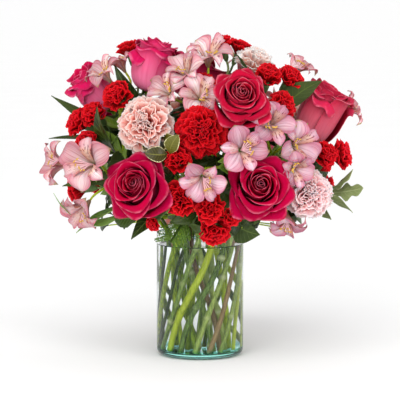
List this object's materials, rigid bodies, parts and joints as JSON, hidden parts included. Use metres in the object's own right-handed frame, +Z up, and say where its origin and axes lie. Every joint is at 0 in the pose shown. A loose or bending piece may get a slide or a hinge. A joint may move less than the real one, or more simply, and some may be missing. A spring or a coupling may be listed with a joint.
{
  "type": "mixed flower bouquet in a glass vase",
  "caption": "Round bouquet of roses, carnations, spray carnations and alstroemeria with leaves, its stems in water in a clear glass cylinder vase.",
  "frame": {"origin": "middle of the vase's underside", "axes": "+Z up along the vase's axis, -Y towards the viewer of the picture, +X to that viewer's right"},
  "size_m": [0.3658, 0.3056, 0.377],
  "materials": {
    "vase_glass": "clear, faintly aqua in the thick base",
    "water": "clear and still",
    "rose_petal": "velvety satin, hot pink with deeper hearts",
    "pink_carnation_petal": "matt, pale pink with coral depths",
    "red_carnation_petal": "matt, saturated red",
    "alstroemeria_petal": "satin, pale pink with streaked yellow throats",
    "green_stem": "satin, fresh green",
    "grey_green_stem": "matt with a waxy bloom",
    "green_leaf": "semi-gloss with a paler underside",
    "cream_edged_leaf": "satin, olive with cream edges"
  },
  "bodies": {
    "root": {"vase": "vase_glass", "water": "water", "rose_stem_1": "green_stem", "rose_stem_2": "green_stem", "rose_stem_3": "green_stem", "rose_stem_4": "green_stem", "rose_stem_5": "green_stem", "rose_stem_6": "green_stem", "rose_bloom_1": "rose_petal", "rose_bloom_2": "rose_petal", "rose_bloom_3": "rose_petal", "rose_bloom_4": "rose_petal", "rose_bloom_5": "rose_petal", "rose_bloom_6": "rose_petal", "rose_7": "rose_petal", "rose_8": "rose_petal", "rose_9": "rose_petal", "carnation_stem_1": "grey_green_stem", "carnation_stem_2": "grey_green_stem", "carnation_stem_3": "grey_green_stem", "carnation_stem_4": "grey_green_stem", "carnation_bloom_1": "pink_carnation_petal", "carnation_bloom_2": "red_carnation_petal", "carnation_bloom_3": "pink_carnation_petal", "carnation_bloom_4": "pink_carnation_petal", "carnation_5": "red_carnation_petal", "carnation_6": "pink_carnation_petal", "carnation_7": "pink_carnation_petal", "spray_carnation_stem_1": "grey_green_stem", "spray_carnation_stem_2": "grey_green_stem", "spray_carnation_stem_3": "grey_green_stem", "spray_carnation_stem_4": "grey_green_stem", "spray_carnation_head_1": "red_carnation_petal", "spray_carnation_head_2": "red_carnation_petal", "spray_carnation_head_3": "red_carnation_petal", "spray_carnation_head_4": "red_carnation_petal", "spray_carnation_head_5": "red_carnation_petal", "spray_carnation_head_6": "red_carnation_petal", "spray_carnation_head_7": "red_carnation_petal", "spray_carnation_head_8": "red_carnation_petal", "spray_carnation_head_9": "red_carnation_petal", "alstroemeria_stem_1": "green_stem", "alstroemeria_stem_2": "green_stem", "alstroemeria_stem_3": "green_stem", "alstroemeria_stem_4": "green_stem", "alstroemeria_head_1": "alstroemeria_petal", "alstroemeria_head_2": "alstroemeria_petal", "alstroemeria_head_3": "alstroemeria_petal", "alstroemeria_head_4": "alstroemeria_petal", "alstroemeria_head_5": "alstroemeria_petal", "alstroemeria_head_6": "alstroemeria_petal", "alstroemeria_head_7": "alstroemeria_petal", "alstroemeria_head_8": "alstroemeria_petal", "alstroemeria_head_9": "alstroemeria_petal", "pittosporum_sprig": "cream_edged_leaf", "ruscus_sprig_left": "green_leaf", "oak_leaf_sprig_right": "green_leaf", "ruscus_sprig_back": "green_leaf", "fern_frond": "green_leaf"}
  },
  "joints": []
}
